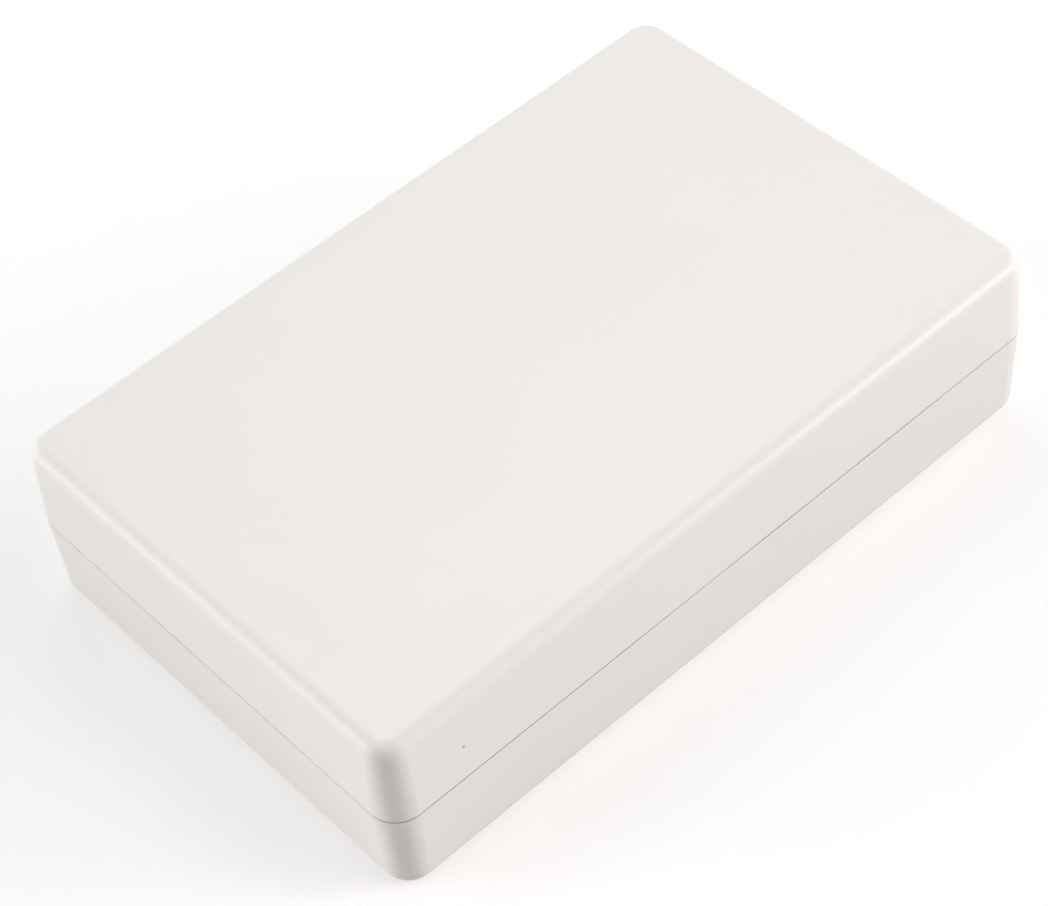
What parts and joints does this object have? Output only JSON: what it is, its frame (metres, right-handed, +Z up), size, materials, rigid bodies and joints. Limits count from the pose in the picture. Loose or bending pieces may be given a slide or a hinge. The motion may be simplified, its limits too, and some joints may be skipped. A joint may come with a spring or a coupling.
{
  "type": "plastic project box",
  "caption": "Two-part moulded plastic project box with rounded corners, a drafted base and lid, a tongue and rebate seam and screws from below.",
  "frame": {"origin": "centre of the flat underside, on the surface that the box stands on", "axes": "+X along the length, +Y across the width, +Z up through the lid"},
  "size_m": [0.19, 0.122, 0.0465],
  "materials": {
    "case_plastic": "fine satin moulding",
    "screw_steel": "zinc plated"
  },
  "bodies": {
    "root": {"lower_shell": "case_plastic", "upper_shell": "case_plastic", "case_screws": "screw_steel"}
  },
  "joints": []
}
